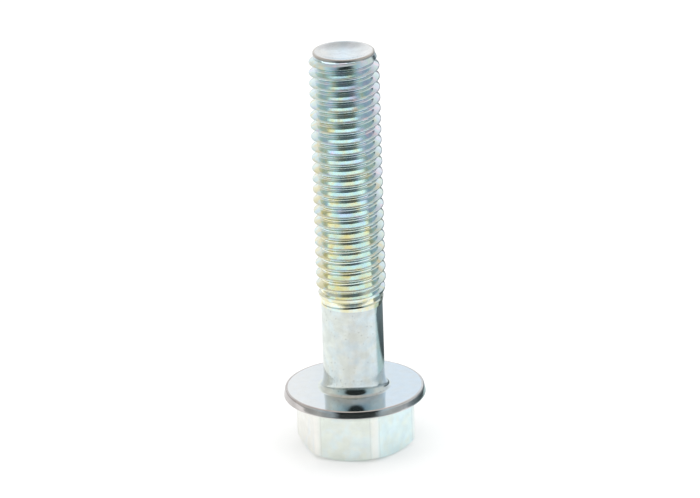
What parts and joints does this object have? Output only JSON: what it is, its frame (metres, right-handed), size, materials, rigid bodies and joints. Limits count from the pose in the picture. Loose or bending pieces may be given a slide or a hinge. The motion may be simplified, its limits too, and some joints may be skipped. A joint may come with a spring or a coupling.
{
  "type": "flange bolt",
  "caption": "Hexagon flange bolt with a right-hand thread, a short plain shank, a round flange and a recessed head top.",
  "frame": {"origin": "centre of the flange's flat bearing face, on the bolt's axis", "axes": "+Z along the axis towards the threaded tip, with the head below; +X lies 11 degrees round from a corner of the hexagon"},
  "size_m": [0.0162, 0.0162, 0.047],
  "materials": {
    "zinc_plated_steel": "gloss"
  },
  "bodies": {
    "root": {"flange_bolt": "zinc_plated_steel"}
  },
  "joints": []
}
